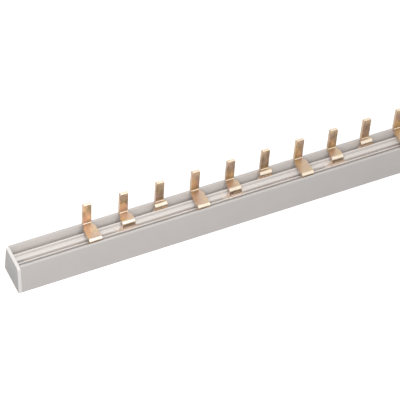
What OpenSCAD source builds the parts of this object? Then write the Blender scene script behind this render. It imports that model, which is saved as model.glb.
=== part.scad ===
// Three-phase comb busbar for modular breakers.
// Three stamped and bent copper combs stand in the slots of an extruded separator,
// inside an extruded trough that is open at the top.  Their pins rise in one row.
// The bar lies along X with its pins up, and the origin is at the centre of its base.

/* [Busbar] */
// Number of pins in the row, three phases in turn
pin_count = 12; // [3:3:54]
// Distance from one pin to the next, which is the width of one breaker pole
pitch = 17.8; // [17:0.1:19]
// Distance from an end of the housing to the centre of the nearest pin
end_margin = 36.7; // [14:0.1:60]

/* [Housing] */
// Thickness of the housing floor
floor_t = 1.3; // [0.8:0.1:2.5]
// Thickness of the front wall
front_wall = 1.3; // [0.8:0.1:2.5]
// Thickness of the back wall
back_wall = 1; // [0.8:0.1:2]
// Angle by which both walls lean inwards, in degrees
wall_lean = 4.6; // [1:0.1:8]
// Height of the front wall above the back wall
front_lip = 0.8; // [0.2:0.1:1.4]
// Radius of the two long bottom corners
foot_r = 0.6; // [0.2:0.1:0.8]

/* [Copper combs] */
// Thickness of the copper strip
strip_t = 1.5; // [1:0.1:2]
// Height of the rail that carries the current
rail_h = 7; // [5:0.5:12]
// Distance from one rail to the next
rail_spacing = 4; // [3.8:0.1:6]
// Width of the webs that lead back to the pins
web_w = 6; // [4.8:0.1:9]
// Width of the pins
pin_w = 4; // [3:0.1:4.6]
// Height of the pins above the webs
pin_h = 11.9; // [8:0.1:16]
// Inside radius of the bends
bend_r = 0.4; // [0.2:0.1:0.8]
// Radius at the root of each tab, where it leaves the rail
root_r = 3.6; // [1:0.1:3.7]
// Length of the slanted shoulders of a web
shoulder = 2.2; // [0.5:0.1:3]
// Radius of the corners at a pin's tip
tip_r = 0.8; // [0.2:0.1:1.4]
// Lead-in bevel along a pin's tip
tip_bevel = 0.3; // [0.1:0.1:0.4]
// Distance by which the rails stop short of the housing's ends
rail_setback = 4; // [2:0.5:8]

/* [Separator] */
// Thickness of the separator's upright walls
rib_t = 0.7; // [0.5:0.1:0.9]
// Thickness of the separator's floor and shelf
deck_t = 1; // [0.7:0.1:1.6]
// Height of the feet under the separator
foot_h = 2; // [1.6:0.1:4]
// Height of the shelf above the rails
cover_h = 1.2; // [0.8:0.1:2]
// Height of the rear rib above the shelf
rib_h = 1.7; // [0.8:0.1:3]
// Clearance between the rear rib and the webs that cross over it
web_gap = 1.2; // [0.8:0.1:3]

/* [End caps] */
// Thickness of a cap's plate
cap_t = 1.5; // [1:0.1:3]
// Distance of the plate's top below the top of the front wall
cap_drop = 0.7; // [0.3:0.1:2]
// Distance by which the plate's back edge slants in ahead of the back wall
cap_slant = 1.3; // [0:0.1:2]
// Radius of the plate's upper front corner
cap_r = 1.2; // [0.4:0.1:2]
// Length of the tongue that plugs in under the separator
tongue_l = 8; // [4:0.5:14]

/* [Hidden] */
// Clearances of the fits
rail_clear = 0.1;   // each side of a rail in its slot
slide_clear = 0.1;  // between the separator and the walls, and round a tongue
wall_clear = 0.3;   // between the front wall and the copper behind it
over_wall = 0.2;    // between the back wall and the webs that pass over it
web_min = 0.2;      // flat length of the shortest web
cut = 1;            // overshoot of cutting shapes
$fn = 48;

phases = 3;
bend_out = bend_r + strip_t;
lean = tan(wall_lean);
housing_l = 2 * end_margin + (pin_count - 1) * pitch;

// Heights, from the floor up
z_deck = floor_t + foot_h;
z_rail = z_deck + deck_t;
z_rail_top = z_rail + rail_h;
z_shelf = z_rail_top + cover_h;
z_rib = z_shelf + rib_h;
z_under = z_rib + web_gap;
z_web = z_under + strip_t;
z_bend = z_web - bend_out;
z_tip = z_web + pin_h;
back_h = z_under - over_wall;
front_h = back_h + front_lip;
cap_h = front_h - cap_drop;

// Depths, from the front of the base to the back
y_rail = front_h * lean + front_wall + wall_clear;
y_pin = y_rail + (phases - 1) * rail_spacing + bend_out + bend_r + web_min;
base_w = y_pin + strip_t + back_wall + back_h * lean;

// Front face of the rail of phase p, counted from the front
function rail_y(p) = y_rail + p * rail_spacing;

// Inner faces of the leaning walls at height z
function front_in(z) = z * lean + front_wall;
function back_in(z) = base_w - z * lean - back_wall;

// Moves the part's corner to its frame, which has its origin at the middle of the base
module in_frame() {
    translate([-housing_l / 2, -base_w / 2, 0])
        children();
}

// Extrudes a section drawn in depth and height along the bar
module along(x, length) {
    translate([x, 0, 0])
        rotate([90, 0, 90])
            linear_extrude(length)
                children();
}

// Extrudes an outline drawn in length and height to a plate whose front is at y
module plate(y, thickness) {
    translate([0, y + thickness, 0])
        rotate([90, 0, 0])
            linear_extrude(thickness)
                children();
}

// Quarter ring of a bend, in the quadrant that the two signs give
module quarter_ring(side_y, side_z) {
    intersection() {
        difference() {
            circle(bend_out);
            circle(bend_r);
        }
        translate([side_y < 0 ? -bend_out : 0, side_z < 0 ? -bend_out : 0])
            square(bend_out);
    }
}

// Waste outside a rounded corner at the origin, whose material lies towards the two signs
module corner_waste(r, side_y, side_z) {
    difference() {
        translate([side_y < 0 ? -r : -cut, side_z < 0 ? -r : -cut])
            square(r + cut);
        translate([side_y * r, side_z * r])
            circle(r);
    }
}

// Trough with leaning walls: the tops are rounded and the front one stands higher
module housing_section() {
    front_tip = front_wall / 2;
    back_tip = back_wall / 2;
    front_top = front_h - front_tip;
    back_top = back_h - back_tip;
    difference() {
        polygon([[0, 0], [base_w, 0],
                 [base_w - back_top * lean, back_top], [back_in(back_top), back_top],
                 [back_in(floor_t), floor_t], [front_in(floor_t), floor_t],
                 [front_in(front_top), front_top], [front_top * lean, front_top]]);
        corner_waste(foot_r, 1, 1);
        translate([base_w, 0])
            corner_waste(foot_r, -1, 1);
    }
    translate([front_top * lean + front_tip, front_top])
        circle(front_tip);
    translate([base_w - back_top * lean - back_tip, back_top])
        circle(back_tip);
}

module housing() {
    color("gainsboro")
        in_frame()
            along(0, housing_l)
                housing_section();
}

// Upright wall of the separator, standing on its floor
module upright(y, top) {
    translate([y, z_deck])
        square([rib_t, top - z_deck]);
}

// Separator: a floor on two feet, with walls that hold the rails apart.
// A shelf with a rear rib bridges the space between the middle and the rear rail.
module separator_section() {
    slot_w = strip_t + 2 * rail_clear;
    slot_a = rail_y(0) - rail_clear;
    slot_b = rail_y(1) - rail_clear;
    slot_c = rail_y(2) - rail_clear;
    lip_z = z_rail + rail_h / 3;
    front_z0 = front_in(floor_t) + slide_clear;
    back_z0 = back_in(floor_t) - slide_clear;
    front_z1 = front_in(z_rail) + slide_clear;
    back_z1 = back_in(z_rail) - slide_clear;
    difference() {
        polygon([[front_z0, floor_t], [back_z0, floor_t], [back_z1, z_rail],
                 [front_z1, z_rail]]);
        translate([tongue_y0(), floor_t - cut])
            square([tongue_y1() - tongue_y0(), foot_h + cut]);
    }
    polygon([[front_z1, z_rail], [slot_a, z_rail], [slot_a, lip_z],
             [front_in(lip_z) + slide_clear, lip_z]]);
    upright(slot_a + slot_w, z_shelf);
    upright(slot_b - rib_t, z_shelf);
    upright(slot_b + slot_w, z_shelf - rib_t);
    translate([slot_b + slot_w + rib_t, z_shelf - rib_t])
        circle(rib_t);
    translate([slot_b + slot_w + rib_t, z_shelf - deck_t])
        square([slot_c - slot_b - slot_w - rib_t, deck_t]);
    upright(slot_c - rib_t, z_rib - rib_t / 2);
    translate([slot_c - rib_t / 2, z_rib - rib_t / 2])
        circle(rib_t / 2);
    upright(slot_c + slot_w, z_rail_top);
}

module separator() {
    color("whitesmoke")
        in_frame()
            along(0, housing_l)
                separator_section();
}

// Flat outline of a comb's rail, with the roots of its tabs
module rail_outline(first) {
    r = min(root_r, z_bend - z_rail_top);
    translate([rail_setback, z_rail])
        square([housing_l - 2 * rail_setback, rail_h]);
    for (i = [first : phases : pin_count - 1]) {
        translate([end_margin + i * pitch, z_rail_top]) {
            difference() {
                translate([-web_w / 2 - r, 0])
                    square([web_w + 2 * r, r]);
                for (side = [-1, 1])
                    translate([side * (web_w / 2 + r), r])
                        circle(r);
            }
            translate([-web_w / 2, 0])
                square([web_w, z_bend - z_rail_top]);
        }
    }
}

// Flat web from the rail's bend to the pin's bend, narrowed at its shoulders
module web(y0, y1) {
    s = min(shoulder, y1 - y0);
    translate([0, 0, z_under])
        linear_extrude(strip_t)
            polygon([[-web_w / 2, y0], [web_w / 2, y0], [web_w / 2, y1 - s], [pin_w / 2, y1],
                     [-pin_w / 2, y1], [-web_w / 2, y1 - s]]);
}

// Pin with round corners and a lead-in bevel at its tip
module pin() {
    z0 = z_web + bend_r;
    intersection() {
        plate(y_pin, strip_t) {
            translate([-pin_w / 2, z0])
                square([pin_w, z_tip - tip_r - z0]);
            translate([tip_r - pin_w / 2, z0])
                square([pin_w - 2 * tip_r, z_tip - z0]);
            for (side = [-1, 1])
                translate([side * (pin_w / 2 - tip_r), z_tip - tip_r])
                    circle(tip_r);
        }
        along(-pin_w, 2 * pin_w)
            polygon([[y_pin, z0], [y_pin + strip_t, z0],
                     [y_pin + strip_t, z_tip - tip_bevel],
                     [y_pin + strip_t - tip_bevel, z_tip],
                     [y_pin + tip_bevel, z_tip], [y_pin, z_tip - tip_bevel]]);
    }
}

// Upper end of one tab: it bends back over the separator and up into the pin
module tab(y) {
    y0 = y + bend_out;
    y1 = y_pin - bend_r;
    along(-web_w / 2, web_w)
        translate([y0, z_bend])
            quarter_ring(-1, 1);
    web(y0, y1);
    along(-pin_w / 2, pin_w)
        translate([y1, z_web + bend_r])
            quarter_ring(1, -1);
    pin();
}

// One phase: a rail and its pins, stamped and bent from one strip
module comb(p) {
    color("peru")
        in_frame() {
            plate(rail_y(p), strip_t)
                rail_outline(p);
            for (i = [p : phases : pin_count - 1])
                translate([end_margin + i * pitch, 0, 0])
                    tab(rail_y(p));
        }
}

module comb_front() {
    comb(0);
}

module comb_middle() {
    comb(1);
}

module comb_rear() {
    comb(2);
}

// Sides of the hollow under the separator, between its feet
function tongue_y0() = front_in(floor_t) + 2 * deck_t;
function tongue_y1() = back_in(floor_t) - 2 * deck_t;

// Plate over the trough's end, with a tongue that plugs in under the separator
module end_cap() {
    top_front = cap_h * lean;
    top_back = base_w - cap_h * lean - cap_slant;
    along(-cap_t, cap_t)
        difference() {
            polygon([[0, 0], [base_w, 0], [top_back, cap_h], [top_front, cap_h]]);
            corner_waste(foot_r, 1, 1);
            translate([base_w, 0])
                corner_waste(foot_r, -1, 1);
            translate([top_front, cap_h])
                rotate(-wall_lean / 2)
                    corner_waste(cap_r, 1, -1);
        }
    along(-cap_t / 2, tongue_l + cap_t / 2)
        translate([tongue_y0() + slide_clear, floor_t + slide_clear])
            square([tongue_y1() - tongue_y0() - 2 * slide_clear, foot_h - 2 * slide_clear]);
}

module end_cap_left() {
    color("lightgray")
        in_frame()
            end_cap();
}

module end_cap_right() {
    color("lightgray")
        in_frame()
            translate([housing_l, 0, 0])
                mirror([1, 0, 0])
                    end_cap();
}

housing();
separator();
comb_front();
comb_middle();
comb_rear();
end_cap_left();
end_cap_right();
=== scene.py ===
import math

import bpy
from mathutils import Matrix, Vector


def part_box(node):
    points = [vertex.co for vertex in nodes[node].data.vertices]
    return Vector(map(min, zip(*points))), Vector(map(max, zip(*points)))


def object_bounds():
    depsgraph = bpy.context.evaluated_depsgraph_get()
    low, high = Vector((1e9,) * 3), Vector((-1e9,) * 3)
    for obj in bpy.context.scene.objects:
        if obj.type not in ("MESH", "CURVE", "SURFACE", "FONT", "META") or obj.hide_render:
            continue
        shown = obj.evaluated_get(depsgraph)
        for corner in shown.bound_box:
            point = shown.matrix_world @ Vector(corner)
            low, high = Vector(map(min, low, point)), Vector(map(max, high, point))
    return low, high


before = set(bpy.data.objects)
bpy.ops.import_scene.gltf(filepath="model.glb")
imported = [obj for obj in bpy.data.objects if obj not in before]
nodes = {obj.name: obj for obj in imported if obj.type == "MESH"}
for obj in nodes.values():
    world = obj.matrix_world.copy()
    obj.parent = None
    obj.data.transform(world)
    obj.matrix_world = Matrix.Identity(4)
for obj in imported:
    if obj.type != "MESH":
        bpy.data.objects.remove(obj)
size_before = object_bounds()

# ------------------------------------------------------------------ housing
# The trough: one extrusion of warm light grey rigid PVC, sawn to length.
# Faint die lines run along it, and its satin skin has a slow, soft mottle.

TROUGH_TONE = (0.575, 0.543, 0.522, 1)
TROUGH_SHADE = (0.556, 0.524, 0.503, 1)
INNER_PAINTED_LIGHT = (0.79, 0.75, 0.725, 1)
TROUGH_ROUGHNESS = 0.42
TROUGH_LINES = 1
# Stretches and scales of the noises, in cycles per metre
EVEN = (1, 1, 1)
DRAWN_ALONG_BAR = (6, 900, 900)
MOTTLE_SCALE = 70
GRAIN_SCALE = 2600
GRAIN_DEPTH = 0.3
# Nearly all of a noise's values lie between these two
NOISE_LOW = 0.3
NOISE_HIGH = 0.7


def node_of(tree, kind, **sockets):
    """Adds a shader node of that kind and sets its named input sockets to constants."""
    node = tree.nodes.new(kind)
    for name, value in sockets.items():
        node.inputs[name.replace("_", " ")].default_value = value
    return node


def plug(tree, value, socket):
    """Feeds a socket from an output, or sets it where value is a constant."""
    if isinstance(value, bpy.types.NodeSocket):
        tree.links.new(value, socket)
    else:
        socket.default_value = value


def noise_of(tree, coords, stretch, scale, detail, roughness):
    """Noise of the stretched coordinates, v = fBm(scale * stretch * p), from 0 to 1."""
    mapping = node_of(tree, "ShaderNodeMapping", Scale=stretch)
    tree.links.new(coords, mapping.inputs["Vector"])
    noise = node_of(tree, "ShaderNodeTexNoise", Scale=scale, Detail=detail, Roughness=roughness)
    tree.links.new(mapping.outputs["Vector"], noise.inputs["Vector"])
    return noise.outputs["Fac"]


def spread(tree, value, low, high, to_low, to_high):
    """Linear map of value from low..high to to_low..to_high, clamped."""
    node = node_of(tree, "ShaderNodeMapRange", From_Min=low, From_Max=high, To_Min=to_low, To_Max=to_high)
    tree.links.new(value, node.inputs["Value"])
    return node.outputs["Result"]


def maths(tree, operation, a, b):
    """a (operation) b, where each is an output or a constant."""
    node = tree.nodes.new("ShaderNodeMath")
    node.operation = operation
    plug(tree, a, node.inputs[0])
    plug(tree, b, node.inputs[1])
    return node.outputs["Value"]


def tint(tree, amount, a, b):
    """Colour (1 - amount) * a + amount * b, where each is an output or a constant."""
    node = tree.nodes.new("ShaderNodeMix")
    node.data_type = "RGBA"
    plug(tree, amount, node.inputs["Factor"])
    plug(tree, a, node.inputs[6])
    plug(tree, b, node.inputs[7])
    return node.outputs[2]


def extruded_plastic_group():
    """Drawn PVC: colour, roughness and height from slow mottle, lines along X and a fine grain."""
    tree = bpy.data.node_groups.new("extruded_plastic", "ShaderNodeTree")
    for label, kind in (
        ("Tone", "NodeSocketColor"),
        ("Shade", "NodeSocketColor"),
        ("Roughness", "NodeSocketFloat"),
        ("Line Depth", "NodeSocketFloat"),
    ):
        tree.interface.new_socket(label, in_out="INPUT", socket_type=kind)
    for label, kind in (
        ("Color", "NodeSocketColor"),
        ("Roughness", "NodeSocketFloat"),
        ("Height", "NodeSocketFloat"),
    ):
        tree.interface.new_socket(label, in_out="OUTPUT", socket_type=kind)
    given = tree.nodes.new("NodeGroupInput").outputs
    result = tree.nodes.new("NodeGroupOutput").inputs
    coords = tree.nodes.new("ShaderNodeTexCoord").outputs["Object"]
    lines = noise_of(tree, coords, DRAWN_ALONG_BAR, 1, 2, 0.5)
    mottle = noise_of(tree, coords, EVEN, MOTTLE_SCALE, 3, 0.5)
    grain = noise_of(tree, coords, EVEN, GRAIN_SCALE, 2, 0.5)
    from_lines = spread(tree, lines, NOISE_LOW, NOISE_HIGH, 0, 0.4)
    from_mottle = spread(tree, mottle, NOISE_LOW, NOISE_HIGH, 0, 0.6)
    color = tint(tree, maths(tree, "ADD", from_lines, from_mottle), given["Tone"], given["Shade"])
    tree.links.new(color, result["Color"])
    drift = spread(tree, mottle, NOISE_LOW, NOISE_HIGH, -0.05, 0.05)
    tree.links.new(maths(tree, "ADD", given["Roughness"], drift), result["Roughness"])
    drawn = maths(tree, "MULTIPLY", lines, given["Line Depth"])
    height = maths(tree, "ADD", drawn, maths(tree, "MULTIPLY", grain, GRAIN_DEPTH))
    tree.links.new(height, result["Height"])
    return tree


extruded_plastic = extruded_plastic_group()


def plastic_material(name, tone, shade, roughness, line_depth):
    """Satin plastic: the group's colour and roughness, with its height through a Bump node."""
    material = bpy.data.materials.new(name)
    material.use_nodes = True
    tree = material.node_tree
    shader = tree.nodes["Principled BSDF"]
    surface = tree.nodes.new("ShaderNodeGroup")
    surface.node_tree = extruded_plastic
    surface.inputs["Tone"].default_value = tone
    surface.inputs["Shade"].default_value = shade
    surface.inputs["Roughness"].default_value = roughness
    surface.inputs["Line Depth"].default_value = line_depth
    tree.links.new(surface.outputs["Color"], shader.inputs["Base Color"])
    tree.links.new(surface.outputs["Roughness"], shader.inputs["Roughness"])
    bump = node_of(tree, "ShaderNodeBump", Strength=0.06, Distance=0.0001)
    tree.links.new(surface.outputs["Height"], bump.inputs["Height"])
    tree.links.new(bump.outputs["Normal"], shader.inputs["Normal"])
    shader.inputs["Specular IOR Level"].default_value = 0.35
    return material


def dress(name, material):
    """Gives a CAD node that one material."""
    slots = nodes[name].data.materials
    slots.clear()
    slots.append(material)


def normal_part(tree, axis):
    """That axis of the true normal, from -1 to 1."""
    split = tree.nodes.new("ShaderNodeSeparateXYZ")
    tree.links.new(tree.nodes.new("ShaderNodeNewGeometry").outputs["Normal"], split.inputs["Vector"])
    return split.outputs[axis]


def place_part(tree, axis):
    """That axis of the object's own coordinates, in metres."""
    split = tree.nodes.new("ShaderNodeSeparateXYZ")
    tree.links.new(tree.nodes.new("ShaderNodeTexCoord").outputs["Object"], split.inputs["Vector"])
    return split.outputs[axis]


def trough_material():
    """The trough's plastic, with painted light that makes the back wall's inner face paler.

    That face is found by its place behind the bar's middle and a normal that points to the front.
    """
    material = plastic_material("trough_pvc", TROUGH_TONE, TROUGH_SHADE, TROUGH_ROUGHNESS, TROUGH_LINES)
    tree = material.node_tree
    shader = tree.nodes["Principled BSDF"]
    outer = shader.inputs["Base Color"].links[0].from_socket
    # Painted light: the back wall's inner face, turned to the front, is made paler.
    at_back = spread(tree, place_part(tree, "Y"), 0, 0.002, 0, 1)
    to_front = spread(tree, normal_part(tree, "Y"), -0.98, -0.9, 1, 0)
    inner = maths(tree, "MULTIPLY", at_back, to_front)
    tree.links.new(tint(tree, inner, outer, INNER_PAINTED_LIGHT), shader.inputs["Base Color"])
    return material


dress("housing", trough_material())

# ------------------------------------------------------------------ separator
# The insert between the combs: an off-white PVC extrusion, pushed into the trough
# from one end.  The rails stand in its slots.

SEPARATOR_TONE = (0.755, 0.715, 0.69, 1)
SEPARATOR_SHADE = (0.74, 0.70, 0.675, 1)
SEPARATOR_PAINTED_SHADE = (0.65, 0.615, 0.59, 1)
SEPARATOR_ROUGHNESS = 0.4
SEPARATOR_LINES = 0.2


def separator_material():
    """The insert's plastic, with painted shade that darkens the upright faces turned to the front."""
    material = plastic_material(
        "separator_pvc", SEPARATOR_TONE, SEPARATOR_SHADE, SEPARATOR_ROUGHNESS, SEPARATOR_LINES
    )
    tree = material.node_tree
    shader = tree.nodes["Principled BSDF"]
    tops = shader.inputs["Base Color"].links[0].from_socket
    # Painted shade on the upright faces turned to the front.
    upright = spread(tree, normal_part(tree, "Y"), -0.95, -0.6, 1, 0)
    tree.links.new(tint(tree, upright, tops, SEPARATOR_PAINTED_SHADE), shader.inputs["Base Color"])
    return material


dress("separator", separator_material())

# ------------------------------------------------------------------ combs
# Three phases, each stamped from one copper strip, with every tab bent back and then up.
# Bare rolled metal: gold webs and pins with brown stain that is partly painted shade, painted shade at
# the pins' feet, on the narrow sides and on the rails, painted highlights on the bends and tips, and a
# painted reflection at the roots.

WEB_GOLD = (0.66, 0.515, 0.34, 1)
WEB_ROSE = (0.62, 0.46, 0.36, 1)
PIN_GOLD = (0.74, 0.56, 0.36, 1)
PIN_ROSE = (0.69, 0.49, 0.39, 1)
STAIN_AND_SHADE_BROWN = (0.24, 0.165, 0.09, 1)
BEND_PAINTED_HIGHLIGHT = (0.93, 0.82, 0.67, 1)
TIP_PAINTED_HIGHLIGHT = (0.85, 0.72, 0.55, 1)
ROOT_PAINTED_REFLECTION = (0.88, 0.74, 0.62, 1)
RAIL_PAINTED_SHADE = (0.52, 0.49, 0.47, 1)
# Stretches and scales of the copper's noises, in cycles per metre
PATCH_STRETCH = (1, 1, 0.7)
PATCH_SCALE = 190
STAIN_STRETCH = (1, 1, 0.5)
STAIN_SCALE = 280
ROLLED_GRAIN = (400, 3000, 260)
# Half-width of the change from one tone to the next, in metres
EDGE = 0.0008

comb_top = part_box("comb_front")[1][2]
web_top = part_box("housing")[1][2] + EDGE
rib_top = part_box("separator")[1][2]
rail_top = rib_top - 3 * EDGE


def copper_material():
    """Bare copper: patches of gold and rose, brown stains, and painted highlights, reflection and shade
    placed by height and normal.

    A bend gets a painted highlight; it is found by its slant, the product of the normal's Y and Z, which
    is -1/2 half-way round it.
    The narrow sides of the strip get painted shade; they are found by the normal's X.
    """
    material = bpy.data.materials.new("bare_copper")
    material.use_nodes = True
    tree = material.node_tree
    shader = tree.nodes["Principled BSDF"]
    coords = tree.nodes.new("ShaderNodeTexCoord").outputs["Object"]
    height = place_part(tree, "Z")
    patch = noise_of(tree, coords, PATCH_STRETCH, PATCH_SCALE, 2, 0.5)
    stain = noise_of(tree, coords, STAIN_STRETCH, STAIN_SCALE, 2, 0.5)
    grain = noise_of(tree, coords, ROLLED_GRAIN, 1, 2, 0.5)
    rosy = spread(tree, patch, 0.4, 0.6, 0, 1)
    web = tint(tree, rosy, WEB_GOLD, WEB_ROSE)
    pin = tint(tree, rosy, PIN_GOLD, PIN_ROSE)
    # Brown stain at random on the pins only: partly stain, partly painted shade that sets the pins darker
    # than the webs.
    pin = tint(tree, spread(tree, stain, 0.48, 0.66, 0, 0.6), pin, STAIN_AND_SHADE_BROWN)
    # Painted shade at the foot of each pin, just above the web, and on the strip's narrow sides.
    foot = spread(tree, height, web_top + EDGE, web_top + 4 * EDGE, 0.55, 0)
    side = spread(tree, maths(tree, "ABSOLUTE", normal_part(tree, "X"), 0), 0.6, 0.9, 0, 0.5)
    pin = tint(tree, maths(tree, "MAXIMUM", foot, side), pin, STAIN_AND_SHADE_BROWN)
    tone = tint(tree, spread(tree, height, web_top, web_top + EDGE, 0, 1), web, pin)
    # Painted highlight on the outer bends, strongest half-way round them.
    slant = maths(tree, "MULTIPLY", normal_part(tree, "Y"), normal_part(tree, "Z"))
    tone = tint(tree, spread(tree, slant, -0.45, -0.22, 0.9, 0), tone, BEND_PAINTED_HIGHLIGHT)
    # Painted highlight along the tops of the pins.
    tone = tint(tree, spread(tree, height, comb_top - EDGE / 2, comb_top, 0, 1), tone, TIP_PAINTED_HIGHLIGHT)
    # Painted reflection: the copper just below the top of the separator's rib is made pale peach.
    tone = tint(tree, spread(tree, height, rib_top - EDGE, rib_top + EDGE, 1, 0), tone, ROOT_PAINTED_REFLECTION)
    # Painted shade: the rails below the slots' tops are made dull grey.
    tone = tint(tree, spread(tree, height, rail_top - EDGE, rail_top + EDGE, 1, 0), tone, RAIL_PAINTED_SHADE)
    tree.links.new(tone, shader.inputs["Base Color"])
    rough = spread(tree, stain, NOISE_LOW, NOISE_HIGH, 0.24, 0.38)
    rough = maths(tree, "ADD", rough, spread(tree, grain, NOISE_LOW, NOISE_HIGH, -0.04, 0.04))
    tree.links.new(rough, shader.inputs["Roughness"])
    shader.inputs["Metallic"].default_value = 1
    bump = node_of(tree, "ShaderNodeBump", Strength=0.25, Distance=0.0001)
    relief = maths(tree, "ADD", grain, maths(tree, "MULTIPLY", patch, 3))
    tree.links.new(relief, bump.inputs["Height"])
    tree.links.new(bump.outputs["Normal"], shader.inputs["Normal"])
    return material


copper = copper_material()
for comb in ("comb_front", "comb_middle", "comb_rear"):
    dress(comb, copper)

# ------------------------------------------------------------------ end caps
# Moulded plates of much the same warm grey, each held by a tongue pushed in under the separator.
# Their narrow edges get painted light, paler than the flat faces.

CAP_TONE = (0.525, 0.50, 0.485, 1)
CAP_SHADE = (0.505, 0.48, 0.465, 1)
CAP_PAINTED_LIGHT = (0.80, 0.77, 0.745, 1)
CAP_ROUGHNESS = 0.36
CAP_LINES = 0.2


def cap_material():
    """The plastic of the caps, with painted light where the surface doesn't face along the bar."""
    material = plastic_material("cap_plastic", CAP_TONE, CAP_SHADE, CAP_ROUGHNESS, CAP_LINES)
    tree = material.node_tree
    shader = tree.nodes["Principled BSDF"]
    face_tone = shader.inputs["Base Color"].links[0].from_socket
    along = maths(tree, "ABSOLUTE", normal_part(tree, "X"), 0)
    # Painted light on the narrow edges.
    tone = tint(tree, spread(tree, along, 0.3, 0.9, 1, 0), face_tone, CAP_PAINTED_LIGHT)
    tree.links.new(tone, shader.inputs["Base Color"])
    return material


cap_plastic = cap_material()
for cap in ("end_cap_left", "end_cap_right"):
    dress(cap, cap_plastic)

# ------------------------------------------------------------------ floor and sky
# A white floor and sky.  What the camera and shiny metal see is white, and what lights
# the matt faces is a softer grey, so that the bar keeps its shape.

SKY_LIGHT = 0.42
WHITE = (1, 1, 1, 1)
PAPER_PALE = (0.92, 0.92, 0.92, 1)
PAPER_DULL = (0.90, 0.90, 0.90, 1)
BOUNCE_GREY = (0.33, 0.33, 0.33, 1)
PAPER_GLOW = 0.4
FIBRE_SCALE = 40
FLOOR_SIZE = 6


def seen_directly(tree):
    """1 for camera, glossy and transmission rays, and 0 for the rest."""
    path = tree.nodes.new("ShaderNodeLightPath")
    seen = maths(tree, "MAXIMUM", path.outputs["Is Camera Ray"], path.outputs["Is Glossy Ray"])
    return maths(tree, "MAXIMUM", seen, path.outputs["Is Transmission Ray"])


sky = bpy.data.worlds.new("white_studio")
sky.use_nodes = True
bpy.context.scene.world = sky
background = sky.node_tree.nodes["Background"]
background.inputs["Color"].default_value = WHITE
sky_strength = spread(sky.node_tree, seen_directly(sky.node_tree), 0, 1, SKY_LIGHT, 1)
sky.node_tree.links.new(sky_strength, background.inputs["Strength"])


def floor_material():
    """White paper: grey to the light that it gives back, and white with a faint shadow to the eye."""
    material = bpy.data.materials.new("white_paper")
    material.use_nodes = True
    tree = material.node_tree
    shader = tree.nodes["Principled BSDF"]
    seen = seen_directly(tree)
    coords = tree.nodes.new("ShaderNodeTexCoord").outputs["Object"]
    fibre = noise_of(tree, coords, EVEN, FIBRE_SCALE, 3, 0.5)
    paper = tint(tree, fibre, PAPER_DULL, PAPER_PALE)
    tree.links.new(tint(tree, seen, BOUNCE_GREY, paper), shader.inputs["Base Color"])
    shader.inputs["Roughness"].default_value = 1
    shader.inputs["Specular IOR Level"].default_value = 0
    shader.inputs["Emission Color"].default_value = WHITE
    tree.links.new(maths(tree, "MULTIPLY", seen, PAPER_GLOW), shader.inputs["Emission Strength"])
    return material


half = FLOOR_SIZE / 2
floor_mesh = bpy.data.meshes.new("floor")
corners = [(-half, -half, 0), (half, -half, 0), (half, half, 0), (-half, half, 0)]
floor_mesh.from_pydata(corners, [], [(0, 1, 2, 3)])
floor_mesh.materials.append(floor_material())
floor = bpy.data.objects.new("floor", floor_mesh)
bpy.context.scene.collection.objects.link(floor)

# ------------------------------------------------------------------ lamps
# Two large soft panels.  The key stands in front of the near end and well above it, and its
# light fades slowly along the bar.  A weaker one behind lifts the back of the trough.

KEY_LEVEL = 0.84
FILL_LEVEL = 0.35


def soft_panel(name, aim, azimuth, elevation, distance, size, level):
    """Square lamp facing aim, azimuth degrees to the left of straight in front of the bar.

    A panel of power P lights a facing matt surface at distance d to P / (pi * d)**2 of its colour.
    """
    azimuth = math.radians(azimuth)
    elevation = math.radians(elevation)
    away = Vector((
        -math.sin(azimuth) * math.cos(elevation),
        -math.cos(azimuth) * math.cos(elevation),
        math.sin(elevation),
    ))
    lamp = bpy.data.lights.new(name, "AREA")
    lamp.size = size
    lamp.energy = level * (math.pi * distance) ** 2
    panel = bpy.data.objects.new(name, lamp)
    bpy.context.scene.collection.objects.link(panel)
    panel.location = aim + distance * away
    panel.rotation_euler = away.to_track_quat("Z", "Y").to_euler()


low, high = size_before
near_end = Vector((low[0] + 0.04, 0, high[2] / 2))
middle = Vector((0, 0, high[2] / 2))
soft_panel("key", near_end, 15, 50, 0.52, 0.32, KEY_LEVEL)
soft_panel("fill", middle, 180, 20, 0.7, 0.4, FILL_LEVEL)

# ------------------------------------------------------------------ camera
# A long lens above the near end, turned a little, so that the bar climbs to the right
# and runs out of the frame.

AZIMUTH = math.radians(28.88)
ELEVATION = math.radians(46.31)
ROLL = math.radians(4.58)
LENS = 165
SENSOR = 36
# From the lower front corner of the left cap to the camera
CAMERA_OFFSET = Vector((-0.18655, -0.49643, 0.61853))

ahead = Vector((
    math.sin(AZIMUTH) * math.cos(ELEVATION),
    math.cos(AZIMUTH) * math.cos(ELEVATION),
    -math.sin(ELEVATION),
))
level = ahead.cross(Vector((0, 0, 1))).normalized()
above = level.cross(ahead)
right = math.cos(ROLL) * level + math.sin(ROLL) * above
upward = math.cos(ROLL) * above - math.sin(ROLL) * level

camera_data = bpy.data.cameras.new("camera")
camera_data.sensor_width = SENSOR
camera_data.lens = LENS
camera_data.clip_start = 0.01
camera = bpy.data.objects.new("camera", camera_data)
bpy.context.scene.collection.objects.link(camera)
turn = Matrix((right, upward, -ahead)).transposed().to_4x4()
camera.matrix_world = Matrix.Translation(Vector((low[0], low[1], 0)) + CAMERA_OFFSET) @ turn
bpy.context.scene.camera = camera
bpy.context.scene.view_settings.view_transform = "Standard"
